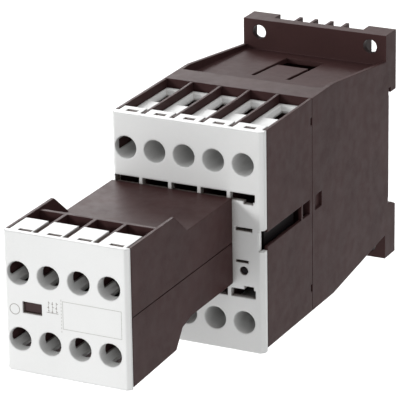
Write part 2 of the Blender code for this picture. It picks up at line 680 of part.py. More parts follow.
def front_cover(parent):
    """The grey cover: driver holes and wire mouths of all terminals, slot rows and openings."""
    rim, side_in = FACE + SKIRT, HALF - COVER_SIDE
    outline = [
        (-HALF + CHAMFER, FACE), (HALF - CHAMFER, FACE), (HALF, FACE + CHAMFER), (HALF, rim), (side_in, rim),
        (side_in, PLATE_BACK), (-side_in, PLATE_BACK), (-side_in, rim), (-HALF, rim), (-HALF, FACE + CHAMFER),
    ]
    tray = prism(outline, "Z", BOTTOM - COVER_DROP, TOP)
    cover = piece("front_cover", "cover_plastic", tray, parent)
    block_end = HEAD_FRONT - GAP
    shrouds, bores, mouths, markers = [], [], [], []
    for side, edge, row in ROWS:
        limit = abs(edge)
        shelf = limit - MOUTH_DROP
        near = abs(row) - SHROUD_IN
        outline = flip([
            (PLATE_BACK - GAP, near), (block_end, near), (block_end, shelf - MOUTH_SHELF),
            (SEAM - SHELF_END, shelf - MOUTH_SHELF), (SEAM - SHELF_END, shelf), (FACE + COVER_STRIP, shelf),
            (FACE + COVER_STRIP, limit), (PLATE_BACK - GAP, limit),
        ], side)
        for x, bay in zip(COLUMN_X, BAYS):
            shrouds.append(prism(outline, "X", bay[0] + GAP, bay[1] - GAP))
            bores += driver_hole(x, row, bay, FACE, block_end + OVER)
            mouths.append(mouth_cutter(bay, side, shelf))
            middle = (bay[0] + bay[1]) / 2 + MARKER_SHIFT
            markers.append(block((middle - MARKER_HALF, middle + MARKER_HALF),
                                 (FACE + MARKER_PLACE[0], FACE + MARKER_PLACE[1]),
                                 (side * (limit - MARKER_DEPTH), side * (limit + OVER))))
    add(cover, "shrouds", shrouds)
    cut(cover, "driver_holes", bores)
    cut(cover, "wire_mouths", mouths)
    cut(cover, "marker_slots", markers)
    cut(cover, "slot_rows", slot_rows())
    cut(cover, "middle_openings", middle_openings())
    notch = ((FACE - OVER, rim + OVER), (-NOTCH_HALF, NOTCH_HALF))
    outer, through = HALF + OVER, side_in - GAP / 2
    cut(cover, "skirt_notches", [block((through, outer), *notch), block((-through, -outer), *notch)])


def slot_rows():
    """Two rows of slots across the face, the last of each with a small step."""
    depth = (FACE - OVER, PLATE_BACK + GAP)
    spans = bays(-HALF + SLOT_ENDS[0], RIB_X, HALF - SLOT_ENDS[1], SLOT_BAR)
    slots = [block(span, depth, row) for row in (UPPER_SLOTS, LOWER_SLOTS) for span in spans[:-1]]
    start, end = spans[-1]
    near, far = end - SLOT_STEP[0], end - SLOT_STEP[1]
    edges = ((UPPER_SLOTS[1], UPPER_SLOTS[0], -STEP_DROPS[0]), (LOWER_SLOTS[0], LOWER_SLOTS[1], STEP_DROPS[1]))
    for outer, inner, drop in edges:
        outline = [(start, outer), (start, inner), (near, inner), (near, inner + drop), (far, inner + drop),
                   (far, inner), (end, inner), (end, outer)]
        slots.append(prism(outline, "Y", *depth))
    return slots


def middle_openings():
    """Openings between the slot rows: coupling window, hook slots, two vents and the pin hole."""
    through = (FACE - OVER, PLATE_BACK + OVER)
    last = COLUMN_X[-1]
    beside, half = COUPLING_ROOM
    openings = [block((COUPLING_X[0] - beside, COUPLING_X[1] + beside), through, (-half, half))]
    for side in (-1, 1):
        heights = [side * z for z in HOOK_SLOT]
        openings.append(block((HOOK_X[0] - GAP, HOOK_X[1] + GAP), through, heights))
    for left, right, low, high in VENTS:
        openings.append(block((last + left, last + right), through, (low, high)))
    openings.append(rod((last, PIN_Z), PIN_RADIUS + PIN_PLAY, *through, 16))
    return openings


# ---- terminals -------------------------------------------------------------------------------
def cross(centre, arm, width):
    """A cross recess seen along the screw."""
    half = width / 2
    corner = [(half, arm), (half, half), (arm, half), (arm, -half), (half, -half), (half, -arm)]
    return [(centre[0] + x, centre[1] + z) for x, z in corner + [(-x, -z) for x, z in corner]]


def terminal_screw(name, centre, clamp_back, head_thick, end, parent):
    """A screw with its captive clamp plate."""
    x, z = centre
    plate_front = clamp_back - CLAMP_THICK
    front = plate_front - head_thick
    bevelled = HEAD_RADIUS - HEAD_BEVEL
    profile = ((front, bevelled), (front + HEAD_BEVEL, HEAD_RADIUS), (plate_front + GAP, HEAD_RADIUS))
    screw = piece(name, "screw_steel", turned(centre, profile, 12), parent, (x, front, z))
    across, up = CLAMP_HALF
    add(screw, "clamp", [block((x - across, x + across), (plate_front, clamp_back), (z - up, z + up))])
    add(screw, "shank", [rod(centre, SHANK_RADIUS, clamp_back - GAP, end, 8)])
    arm, width, depth = RECESS
    cut(screw, "recess", [prism(cross(centre, arm, width), "Y", front - OVER, front + depth)])


def screw_hole(centre, bar_front, thick):
    return [rod(centre, SHANK_RADIUS + GAP, bar_front - OVER, bar_front + thick + OVER, 12)]


def contact_bar(name, x, side, row, parent):
    """A flat bar from under the screw to the arc chamber, with a contact button at its tip."""
    ends = (side * BAR_TIP, row + side * BAR_BEYOND)
    plate = block((x - BAR_HALF, x + BAR_HALF), (BAR_FRONT, BAR_BACK), ends)
    bar = piece(name, "contact_brass", plate, parent)
    button = rod((x, side * BUTTON_Z), BUTTON_RADIUS, BAR_FRONT - BUTTON_THICK, BAR_FRONT + INTO, 12)
    add(bar, "button", [button])
    cut(bar, "screw_hole", screw_hole((x, row), BAR_FRONT, BAR_THICK))


def coil_terminal(name, side, row, parent):
    """The coil's terminal plate with a leg that runs back to the bobbin."""
    x = COLUMN_X[0]
    leg = row - side * COIL_LEG
    leg_in, leg_out = leg - side * COIL_LEG_HALF, leg + side * COIL_LEG_HALF
    outer = row + side * BAR_BEYOND
    end = BOBBIN_FRONT - OVER
    outline = [(BAR_FRONT, leg_in), (end, leg_in), (end, leg_out), (BAR_BACK, leg_out), (BAR_BACK, outer),
               (BAR_FRONT, outer)]
    plate = piece(name, "contact_brass", prism(outline, "X", x - COIL_HALF, x + COIL_HALF), parent)
    cut(plate, "screw_hole", screw_hole((x, row), BAR_FRONT, BAR_THICK))


# ---- contact carrier -------------------------------------------------------------------------
def contact_carrier(parent):
    """The sliding bar that carries the bridges, with a stem and claws that hold the armature."""
    high = (-CARRIER_HALF, CARRIER_HALF)
    bar = block((POLES[0] - CARRIER_SIDE, POLES[-1] + CARRIER_SIDE), (CARRIER_FRONT, CARRIER_REAR), high)
    carrier = piece("contact_carrier", "carrier_plastic", bar, parent, (0.0, CARRIER_FRONT, 0.0))
    wide, up = STEM_HALF
    add(carrier, "stem", [block((-wide, wide), (CARRIER_REAR - OVER, FOOT_FRONT + INTO), (-up, up))])
    wide, up = CARRIER_FOOT
    add(carrier, "foot", [block((-wide, wide), (FOOT_FRONT, FOOT_FRONT + FOOT_THICK), (-up, up))])
    width, thick, lip, lip_reach = CLAW
    near, behind, start = CORE_HALF[1] + GAP, ARMATURE_BACK + GAP, FOOT_FRONT + INTO
    claw = [(start, near), (behind, near), (behind, near - lip_reach), (behind + lip, near - lip_reach),
            (behind + lip, near + thick), (start, near + thick)]
    claws = []
    for side in (1, -1):
        for low in (-wide, wide - width):
            claws.append(prism(flip(claw, side), "X", low, low + width))
    add(carrier, "claws", claws)

    tongue = block(COUPLING_X, (TONGUE_FRONT, CARRIER_FRONT + OVER), (-TONGUE_HALF, TONGUE_HALF))
    add(carrier, "tongue", [tongue])
    beside = (COUPLING_X[0] - OVER, COUPLING_X[1] + OVER)
    cut(carrier, "coupling_groove", [block(beside, GROOVE, (GROOVE_Z, TONGUE_HALF + OVER))])
    x = COLUMN_X[-1]
    half, thick = PIN_ARM
    height = (PIN_Z - half, -CARRIER_HALF + OVER)
    arm = block((x - half, x + half), (CARRIER_FRONT, CARRIER_FRONT + thick), height)
    add(carrier, "pin_arm", [arm])
    add(carrier, "position_pin", [rod((x, PIN_Z), PIN_RADIUS, FACE + GAP, CARRIER_FRONT + INTO, 12)])
    reach = BRIDGE_HALF + BRIDGE_PLAY
    depth, height = (BRIDGE_FRONT - SPRING_ROOM, BRIDGE_BACK + GAP), (-CARRIER_HALF - OVER, CARRIER_HALF + OVER)
    cut(carrier, "bridge_windows", [block((x - reach, x + reach), depth, height) for x in POLES])


def contact_bridge(name, x, parent):
    bar = block((x - BRIDGE_HALF, x + BRIDGE_HALF), (BRIDGE_FRONT, BRIDGE_BACK), (-BRIDGE_TIP, BRIDGE_TIP))
    bridge = piece(name, "contact_brass", bar, parent, (x, BRIDGE_BACK, 0.0))
    ends = (BRIDGE_BACK - INTO, BRIDGE_BACK + BUTTON_THICK)
    add(bridge, "buttons", [rod((x, side * BUTTON_Z), BUTTON_RADIUS, *ends, 12) for side in (-1, 1)])


# ---- magnet ----------------------------------------------------------------------------------
def magnet_core(parent):
    """An E-shaped core whose middle limb is shorter by the magnet's air gap."""
    wide, limb, centre = CORE_HALF[0], CORE_HALF[0] - OUTER_LIMB, CENTRE_LIMB / 2
    yoke = CORE_BACK - YOKE
    half = [(wide, CORE_BACK), (wide, CORE_FRONT), (limb, CORE_FRONT), (limb, yoke), (centre, yoke),
            (centre, CORE_FRONT + GAP)]
    outline = half + [(-x, y) for x, y in reversed(half)]
    piece("magnet_core", "core_steel", prism(outline, "Z", -CORE_HALF[1], CORE_HALF[1]), parent)


def armature(parent):
    wide, up = CORE_HALF
    plate = block((-wide, wide), (ARMATURE_FRONT, ARMATURE_BACK), (-up, up))
    piece("armature", "core_steel", plate, parent, (0.0, ARMATURE_BACK, 0.0))


def coil_bobbin(parent):
    hole = (CENTRE_LIMB / 2 + GAP, CORE_HALF[1] + GAP)
    tube = (hole[0] + BOBBIN_WALL, hole[1] + BOBBIN_WALL)
    across, up = (-BOBBIN_HALF[0], BOBBIN_HALF[0]), (-BOBBIN_HALF[1], BOBBIN_HALF[1])
    rear = block(across, (BOBBIN_BACK - BOBBIN_WALL, BOBBIN_BACK), up)
    bobbin = piece("coil_bobbin", "bobbin_plastic", rear, parent)
    length = (BOBBIN_FRONT, BOBBIN_BACK - INTO)
    add(bobbin, "tube", [block((-tube[0], tube[0]), length, (-tube[1], tube[1]))])
    add(bobbin, "front_flange", [block(across, (BOBBIN_FRONT, BOBBIN_FRONT + BOBBIN_WALL), up)])
    through = (BOBBIN_FRONT - OVER, BOBBIN_BACK + OVER)
    cut(bobbin, "limb_hole", [block((-hole[0], hole[0]), through, (-hole[1], hole[1]))])


def coil_winding(parent):
    inner = (CENTRE_LIMB / 2 + 2 * GAP + BOBBIN_WALL, CORE_HALF[1] + 2 * GAP + BOBBIN_WALL)
    reach = [BOBBIN_HALF[axis] - WINDING_INSET[axis] - WINDING_CORNER for axis in (0, 1)]
    outline = []
    for across, along, start in ((1, 1, 0), (-1, 1, 90), (-1, -1, 180), (1, -1, 270)):
        for step in range(4):
            angle = math.radians(start + 30 * step)
            outline.append((across * reach[0] + WINDING_CORNER * math.cos(angle),
                            along * reach[1] + WINDING_CORNER * math.sin(angle)))
    ends = (BOBBIN_FRONT + BOBBIN_WALL + GAP, BOBBIN_BACK - BOBBIN_WALL - GAP)
    winding = piece("coil_winding", "copper_winding", prism(outline, "Y", *ends), parent)
    through = (ends[0] - OVER, ends[1] + OVER)
    cut(winding, "middle", [block((-inner[0], inner[0]), through, (-inner[1], inner[1]))])


def return_spring(name, side, parent):
    centre = (0.0, side * RETURN_Z)
    spring = coil(centre, *RETURN_COIL, FOOT_FRONT + FOOT_THICK + GAP, BOBBIN_FRONT - GAP, 5, "Y", 4)
    piece(name, "spring_steel", spring, parent, (0.0, BOBBIN_FRONT, side * RETURN_Z))


# ---- auxiliary block -------------------------------------------------------------------------
def aux_half(name, side, parent):
    """Half of the auxiliary housing, above or below the seam."""
    edge = AUX_TOP if side > 0 else AUX_BOTTOM
    neck = NECK_TOP if side > 0 else NECK_BOTTOM
    row = AUX_ROWS[0] if side > 0 else AUX_ROWS[1]
    meet = AUX_SEAM + side * GAP / 2
    rear = FACE - GAP
    apex, valley = AUX_FACE + APEX, AUX_FACE + VALLEY
    rise, knee, run_out = LOWER_KNEE
    lower_slope = [(apex, edge + rise), ((apex + valley) / 2, neck - knee), (valley + run_out, neck)]
    slope = [(apex, edge), (valley, neck)] if side > 0 else lower_slope
    outline = [(AUX_BODY_FRONT, meet), (AUX_BODY_FRONT, edge)] + slope + [(rear, neck), (rear, meet)]
    half = piece(name, "housing_plastic", prism(outline, "X", AUX_LEFT, AUX_RIGHT), parent)

    inside, outside = meet - side * OVER, edge + side * OVER
    shelf = (edge - side * SHELF_DROP, edge - side * (SHELF_DROP + SHELF))
    entry_front = AUX_CLAMP_BACK - ENTRY_WALL[0]
    well = [
        (AUX_BODY_FRONT - OVER, inside), (AUX_BODY_FRONT - OVER, outside), (AUX_WALL, outside),
        (AUX_WALL, shelf[0]), (entry_front, shelf[0]), (entry_front, shelf[1]), (AUX_WALL, shelf[1]),
        (AUX_WALL, inside),
    ]
    cut(half, "terminal_bays", [prism(well, "X", *bay) for bay in AUX_BAYS])
    entries = []
    for bay in AUX_BAYS:
        middle = (bay[0] + bay[1]) / 2
        entries.append(block((middle - ENTRY_HALF, middle + ENTRY_HALF),
                             (AUX_CLAMP_BACK + GAP, AUX_WALL - ENTRY_WALL[1]),
                             (shelf[0] + side * OVER, shelf[1] - side * OVER)))
    cut(half, "wire_entries", entries)

    sunk = edge - side * AUX_RIB_SINK
    low_ribs = block(AUX_INNER, (AUX_BODY_FRONT - OVER, AUX_BEHIND + CROSS_STEP + INTO), (sunk, outside))
    step = [(AUX_BEHIND, outside), (AUX_BEHIND, neck), (valley + run_out, neck), (valley + run_out, outside)]
    cut(half, "rib_edges", [low_ribs])
    cut(half, "step_down", [prism(step, "X", *AUX_INNER)])
    ceiling, end = neck - side * AUX_ROOF, rear - AUX_ROOF
    chamber = [(AUX_BEHIND, inside), (AUX_BEHIND, ceiling), (end, ceiling), (end, inside)]
    cut(half, "chamber", [prism(chamber, "X", *AUX_INNER)])

    leg = row - side * AUX_BAR_END
    slot = (inside, leg + side * (AUX_LEG + RUN))
    cut(half, "contact_slot", [block(AUX_INNER, (AUX_WALL - INTO, AUX_BEHIND + INTO), slot)])
    rib_ends = (AUX_SEAM - side * OVER, CENTRE_Z + side * RIB_INSIDE)
    reach = (AUX_COLUMNS[0], AUX_COLUMNS[-1])
    cut(half, "rib_ends", [block(reach, (AUX_BODY_FRONT - OVER, AUX_WALL + GAP), rib_ends)])
    return half


def aux_hook(half, side):
    """A hook on the rear wall that snaps behind the contactor's cover."""
    left, length, lip, bevel = HOOK_PLACE
    low, high = HOOK_SLOT[0] + GAP, HOOK_SLOT[1] - left
    start, end = FACE - GAP - OVER, PLATE_BACK + length
    outline = flip([
        (start, low), (end, low), (end, high + lip), (PLATE_BACK + GAP, high + bevel),
        (PLATE_BACK + GAP, high), (start, high),
    ], side)
    add(half, "hook", [prism(outline, "X", *HOOK_X)])


def aux_housing(parent):
    upper = aux_half("aux_housing_upper", 1, parent)
    arm = (ARM_X[0] - RUN, ARM_X[1] + RUN)
    cut(upper, "arm_way", [block(arm, (FACE - 2 * OVER, FACE + OVER), (AUX_SEAM - OVER, ARM_Z[1] + RUN))])
    aux_hook(upper, 1)
    aux_hook(aux_half("aux_housing_lower", -1, parent), -1)


def aux_front_cover(parent):
    """The white cover: eight driver holes, tongues above and below, the indicator's window."""
    rim = AUX_FACE + AUX_SKIRT
    outline = [
        (AUX_LEFT + CHAMFER, AUX_FACE), (AUX_RIGHT - CHAMFER, AUX_FACE), (AUX_RIGHT, AUX_FACE + CHAMFER),
        (AUX_RIGHT, rim), (AUX_LEFT, rim), (AUX_LEFT, AUX_FACE + CHAMFER),
    ]
    plate = prism(outline, "Z", AUX_BOTTOM - AUX_COVER_RISE[1], AUX_TOP + AUX_COVER_RISE[0])
    cover = piece("aux_front_cover", "cover_plastic", plate, parent)
    block_end = AUX_HEAD_FRONT - GAP
    front, strip = AUX_FACE + AUX_STRIP[0], AUX_FACE + AUX_STRIP[1]
    reach, thick = AUX_FACE + AUX_TONGUE[0], AUX_TONGUE[1]
    relief = (AUX_FACE + RELIEF_START, block_end + OVER)
    shrouds, bores, markers, reliefs = [], [], [], []
    for side, edge, row in ((1, AUX_TOP, AUX_ROWS[0]), (-1, AUX_BOTTOM, AUX_ROWS[1])):
        limit = abs(edge)
        near, far = abs(row) - AUX_SHROUD[0], abs(row) + AUX_SHROUD[1]
        outline = flip([
            (front, near), (block_end, near), (block_end, far), (strip, far), (strip, limit - thick),
            (reach, limit - thick), (reach, limit), (front, limit),
        ], side)
        for x, bay in zip(AUX_COLUMNS, AUX_BAYS):
            shrouds.append(prism(outline, "X", bay[0] + GAP, bay[1] - GAP))
            bores += driver_hole(x, row, bay, AUX_FACE, block_end + OVER)
            middle = (bay[0] + bay[1]) / 2 + AUX_MARKER_SHIFT
            markers.append(block((middle - AUX_MARKER_HALF, middle + AUX_MARKER_HALF),
                                 (AUX_FACE + AUX_MARKER[0], AUX_FACE + AUX_MARKER[1]),
                                 (side * (limit - AUX_MARKER_DEPTH), side * (limit + OVER))))
            reliefs.append(block((bay[0], x), relief, (row - RELIEF_HALF, row + RELIEF_HALF)))
            reliefs.append(block((x - RELIEF_HALF, x + RELIEF_HALF), relief, (row - AUX_SHROUD[0] - OVER, row)))
    add(cover, "shrouds", shrouds)
    cut(cover, "driver_holes", bores)
    cut(cover, "wall_openings", reliefs)
    cut(cover, "marker_slots", markers)
    cut(cover, "window", [block(WINDOW_X, (AUX_FACE - OVER, AUX_PLATE_BACK + OVER), WINDOW_Z)])


def aux_contact(name, index, side, parent):
    """Terminal plate, leg and contact tip, bent from one strip."""
    x = AUX_COLUMNS[index]
    row = AUX_ROWS[0] if side > 0 else AUX_ROWS[1]
    outer, leg = row + side * AUX_BAR_END, row - side * AUX_BAR_END
    leg_out, tip = leg + side * AUX_LEG, leg - side * AUX_TIP
    back, tip_back = AUX_BAR_FRONT + AUX_BAR_THICK, AUX_TIP_Y + AUX_LEG
    outline = [
        (AUX_BAR_FRONT, leg), (AUX_TIP_Y, leg), (AUX_TIP_Y, tip), (tip_back, tip), (tip_back, leg_out),
        (back, leg_out), (back, outer), (AUX_BAR_FRONT, outer),
    ]
    strip = piece(name, "contact_brass", prism(outline, "X", x - AUX_BAR_HALF, x + AUX_BAR_HALF), parent)
    if index in OPENERS:
        ends = (tip_back - GAP, tip_back + AUX_BUTTON)
    else:
        ends = (AUX_TIP_Y - AUX_BUTTON, AUX_TIP_Y + GAP)
    centre = (x, tip + side * AUX_BUTTON_INSET)
    add(strip, "button", [rod(centre, AUX_BUTTON_RADIUS, *ends, 10)])
    cut(strip, "screw_hole", screw_hole((x, row), AUX_BAR_FRONT, AUX_BAR_THICK))


def aux_bridge_place(index):
    """Front and back face of a bridge at rest, and where its buttons end."""
    if index in OPENERS:
        front = AUX_TIP_Y + AUX_LEG + 2 * AUX_BUTTON + GAP
        return front, front + AUX_LEG, front - AUX_BUTTON
    back = AUX_TIP_Y - 2 * AUX_BUTTON - GAP - STROKE
    return back - AUX_LEG, back, back + AUX_BUTTON


def aux_bridge(name, index, parent):
    x = AUX_COLUMNS[index]
    front, back, button = aux_bridge_place(index)
    reach = AUX_BAR_END + AUX_TIP - AUX_BUTTON_INSET
    contacts = (AUX_ROWS[1] + reach, AUX_ROWS[0] - reach)
    height = (contacts[0] - AUX_BUTTON_INSET, contacts[1] + AUX_BUTTON_INSET)
    bar = block((x - AUX_BAR_HALF + GAP, x + AUX_BAR_HALF - GAP), (front, back), height)
    bridge = piece(name, "contact_brass", bar, parent, (x, front, CENTRE_Z))
    ends = (button, front + GAP) if index in OPENERS else (back - GAP, button)
    add(bridge, "buttons", [rod((x, z), AUX_BUTTON_RADIUS, *ends, 10) for z in contacts])


def aux_slider(parent):
    """Plastic slide that carries the auxiliary bridges and the state indicator."""
    low, high = CENTRE_Z - SLIDER_HALF, CENTRE_Z + SLIDER_HALF
    across = (AUX_INNER[0] + SLIDER_SIDE, AUX_INNER[1] - SLIDER_SIDE)
    bar = block(across, (SLIDER_FRONT, SLIDER_REAR), (low, high))
    slider = piece("aux_slider", "slider_plastic", bar, parent, (0.0, SLIDER_FRONT, CENTRE_Z))
    flag = block((WINDOW_X[0] + GAP, WINDOW_X[1] - GAP), (AUX_FACE + INDICATOR_SETBACK, SLIDER_FRONT + OVER),
                 (WINDOW_Z[0] + GAP, WINDOW_Z[1] - GAP))
    add(slider, "indicator", [flag])
    start, bend = SLIDER_REAR - ARM_START, SLIDER_REAR + ARM_BACK
    tip = (GROOVE[0] + GAP, GROOVE[1] - GAP)
    arm = [
        (start, low + ARM_LIFT), (bend, low + ARM_LIFT), (bend, ARM_Z[0]), (tip[0], ARM_Z[0]),
        (tip[0], ARM_TIP_Z), (tip[1], ARM_TIP_Z), (tip[1], ARM_Z[1]), (start, ARM_Z[1]),
    ]
    add(slider, "rear_arm", [prism(arm, "X", *ARM_X)])
    windows = []
    for index, x in enumerate(AUX_COLUMNS):
        front, back, _ = aux_bridge_place(index)
        if index in OPENERS:
            room = (front - GAP, back + CONTACT_SPRING)
        else:
            room = (front - CONTACT_SPRING, back + GAP)
        windows.append(block((x - AUX_BAR_HALF, x + AUX_BAR_HALF), room, (low - OVER, high + OVER)))
    cut(slider, "bridge_windows", windows)


# ---- the whole device ------------------------------------------------------------------------
def contactor(device):
    base_housing(device)
    arc_housing(device)
    front_cover(device)
    magnet_core(device)
    coil_bobbin(device)
    coil_winding(device)
    for label, (side, _, row) in zip(("upper", "lower"), ROWS):
        coil_terminal(f"coil_terminal_{label}", side, row, device)
        return_spring(f"return_spring_{label}", side, device)
        for number, x in enumerate(COLUMN_X, start=1):
            end = BAR_BACK + SHANK_BEHIND
            terminal_screw(f"{label}_screw_{number}", (x, row), CLAMP_BACK, HEAD_THICK, end, device)
    for label, (side, _, row) in zip(("line", "load"), ROWS):
        for number, x in enumerate(POLES, start=1):
            contact_bar(f"{label}_contact_{number}", x, side, row, device)

    pull = empty("carrier_slide", (0, CARRIER_FRONT, 0), device)
    contact_carrier(pull)
    armature(pull)
    rider = empty("bridge_slide", (0, BRIDGE_BACK, 0), device)
    for number, x in enumerate(POLES, start=1):
        contact_bridge(f"contact_bridge_{number}", x, rider)
    catch = empty("latch_slide", (0, LATCH_FRONT, NOSE_LOW), device)
    rail_latch(catch)
    rail_latch_spring(device)


def auxiliary_block(device):
    aux_housing(device)
    aux_front_cover(device)
    slide = empty("aux_slide", (0, SLIDER_FRONT, CENTRE_Z), device)
    aux_slider(slide)
    for number, x in enumerate(AUX_COLUMNS, start=1):
        for label, side, row in (("upper", 1, AUX_ROWS[0]), ("lower", -1, AUX_ROWS[1])):
            name = f"aux_{label}_screw_{number}"
            end = AUX_WALL - GAP - AUX_SCREW_SETBACK
            terminal_screw(name, (x, row), AUX_CLAMP_BACK, AUX_HEAD_THICK, end, device)
            aux_contact(f"aux_{label}_contact_{number}", number - 1, side, device)
        aux_bridge(f"aux_bridge_{number}", number - 1, slide)


for old in list(bpy.data.objects):
    bpy.data.objects.remove(old)
MATERIALS = {finish: make_material(finish) for finish in FINISHES}
assembly = empty("contactor", (0, 0, 0))
contactor(assembly)
auxiliary_block(assembly)
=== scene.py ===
import json
import math

import bmesh
import bpy
from mathutils import Matrix, Vector


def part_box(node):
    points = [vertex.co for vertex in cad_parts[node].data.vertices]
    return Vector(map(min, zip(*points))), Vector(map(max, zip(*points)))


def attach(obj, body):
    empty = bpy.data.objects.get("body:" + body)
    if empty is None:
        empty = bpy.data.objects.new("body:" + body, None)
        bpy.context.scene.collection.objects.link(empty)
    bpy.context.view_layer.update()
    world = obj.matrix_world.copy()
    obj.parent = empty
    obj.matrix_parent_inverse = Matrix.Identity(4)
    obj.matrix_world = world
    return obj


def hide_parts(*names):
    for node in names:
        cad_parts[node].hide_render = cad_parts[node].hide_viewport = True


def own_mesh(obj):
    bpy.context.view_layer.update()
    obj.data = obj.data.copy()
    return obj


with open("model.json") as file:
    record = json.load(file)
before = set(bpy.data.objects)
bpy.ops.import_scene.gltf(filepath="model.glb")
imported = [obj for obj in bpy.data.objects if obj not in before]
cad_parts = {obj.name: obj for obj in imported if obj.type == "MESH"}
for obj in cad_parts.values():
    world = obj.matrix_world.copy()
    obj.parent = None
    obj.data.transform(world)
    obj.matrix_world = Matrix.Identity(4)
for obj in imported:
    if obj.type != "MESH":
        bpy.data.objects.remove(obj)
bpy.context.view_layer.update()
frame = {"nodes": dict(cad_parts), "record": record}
nodes = frame["nodes"]
MM = 0.001


# ---- shader helpers --------------------------------------------------------------------------
def node(tree, kind, settings=(), **inputs):
    """A shader node with its settings made and its inputs set or linked."""
    made = tree.nodes.new("ShaderNode" + kind)
    for name, value in settings:
        setattr(made, name, value)
    for name, value in inputs.items():
        socket = made.inputs[int(name[1:])] if name[0] == "_" else made.inputs[name.replace("_", " ")]
        if isinstance(value, bpy.types.NodeSocket):
            tree.links.new(value, socket)
        else:
            socket.default_value = value
    return made


def blank(name, metallic, roughness, **values):
    """A new material with its node tree and its shader, given constant values."""
    material = bpy.data.materials.new("look_" + name)
    material.use_nodes = True
    shader = material.node_tree.nodes["Principled BSDF"]
    shader.inputs["Metallic"].default_value = metallic
    shader.inputs["Roughness"].default_value = roughness
    for key, value in values.items():
        shader.inputs[key.replace("_", " ")].default_value = value
    return material, material.node_tree, shader


def place_of(tree):
    """The point's place on the object, in metres."""
    return node(tree, "TexCoord").outputs["Object"]


def noise(tree, size, detail=2.0, stretch=(1, 1, 1)):
    """Noise with features of about the given size in millimetres, stretched along an axis."""
    mapped = node(tree, "Mapping", Vector=place_of(tree), Scale=stretch).outputs[0]
    return node(tree, "TexNoise", Vector=mapped, Scale=1 / (size * MM), Detail=detail).outputs[0]


def remap(tree, value, from_low, from_high, low, high):
    """A value moved from one range to another."""
    return node(tree, "MapRange", _0=value, _1=from_low, _2=from_high, _3=low, _4=high).outputs[0]


def mix(tree, share, first, second):
    """One colour fading into another."""
    blend = node(tree, "Mix", [("data_type", "RGBA")], _0=share, _6=first, _7=second)
    return blend.outputs[2]


def shade(colour, factor):
    """A colour made darker or lighter, with its alpha."""
    return tuple(channel * factor for channel in colour) + (1.0,)


def edge_mask(tree, soft):
    """Near 1 on sharp edges and 0 on flat faces, from a rounded normal."""
    flat = node(tree, "NewGeometry").outputs["True Normal"]
    along = node(tree, "VectorMath", [("operation", "DOT_PRODUCT")], _0=soft, _1=flat).outputs["Value"]
    return remap(tree, along, 0.995, 0.80, 0.0, 1.0)


def moulded_plastic(name, colour, roughness, rounding, grain, lightening, cloud=0.12, sheen=0.10,
                    hollow_shade=None):
    """Moulded plastic: cloudy tone, fine spark-eroded grain, rounded edges lightened partly as wear and
    partly as painted highlight, and, given a hollow colour, painted shade in hollows.
    """
    material, tree, shader = blank(name, 0.0, roughness, Specular_IOR_Level=sheen)
    soft = node(tree, "Bevel", [("samples", 4)], Radius=rounding * MM).outputs[0]
    clouds = noise(tree, 14.0, 3.0)
    speckle = noise(tree, 0.7, 3.0)
    cloudy = remap(tree, clouds, 0.3, 0.7, 0.0, 1.0)
    tone = mix(tree, cloudy, shade(colour, 1 - cloud), shade(colour, 1 + cloud))
    spots = mix(tree, remap(tree, speckle, 0.35, 0.75, 0.0, 0.35), tone, shade(colour, 1 + 2 * cloud))
    uneven = remap(tree, noise(tree, 5.0, 4.0), 0.35, 0.65, 0.2, 1.0)
    # Edges lightened: partly wear, partly a painted highlight where edges would catch the light.
    edge_wear_and_highlight = node(tree, "Math", [("operation", "MULTIPLY")], _0=edge_mask(tree, soft), _1=uneven).outputs[0]
    edge_lightening_share = node(tree, "Math", [("operation", "MULTIPLY")], _0=edge_wear_and_highlight, _1=lightening).outputs[0]
    final = mix(tree, edge_lightening_share, spots, shade(colour, 1.7))
    # Painted shade: the colour darkens towards the hollow_shade colour in holes, slots and recesses, where
    # an occlusion test finds nearby surfaces.
    if hollow_shade:
        occlusion_amount = node(tree, "AmbientOcclusion", [("samples", 6)], Distance=5.0 * MM).outputs["AO"]
        final = mix(tree, remap(tree, occlusion_amount, 0.25, 0.70, 1.0, 0.0), final, shade(hollow_shade, 1.0))
    tree.links.new(final, shader.inputs["Base Color"])
    gloss = remap(tree, noise(tree, 3.0, 3.0), 0.3, 0.7, roughness - 0.05, roughness + 0.06)
    tree.links.new(gloss, shader.inputs["Roughness"])
    waves = node(tree, "Bump", Strength=0.25, Distance=0.05 * MM, Height=noise(tree, 9.0, 1.0), Normal=soft)
    bump = node(tree, "Bump", Strength=grain, Distance=0.03 * MM, Height=noise(tree, 0.28, 2.0),
                Normal=waves.outputs[0])
    tree.links.new(bump.outputs[0], shader.inputs["Normal"])
    return material


def worked_metal(name, colour, roughness, stretch, scratch, tint=None):
    """Metal with drawn or brushed lines along one axis, stains and softly broken edges."""
    material, tree, shader = blank(name, 1.0, roughness)
    soft = node(tree, "Bevel", [("samples", 4)], Radius=0.12 * MM).outputs[0]
    stains = remap(tree, noise(tree, 3.0, 4.0), 0.35, 0.7, 0.0, 1.0)
    tone = mix(tree, stains, shade(colour, 1.0), tint or shade(colour, 0.72))
    tree.links.new(tone, shader.inputs["Base Color"])
    lines = noise(tree, 0.35, 3.0, stretch)
    gloss = remap(tree, lines, 0.3, 0.7, roughness - 0.08, roughness + 0.12)
    tree.links.new(gloss, shader.inputs["Roughness"])
    bump = node(tree, "Bump", Strength=scratch, Distance=0.02 * MM, Height=lines, Normal=soft)
    tree.links.new(bump.outputs[0], shader.inputs["Normal"])
    return material


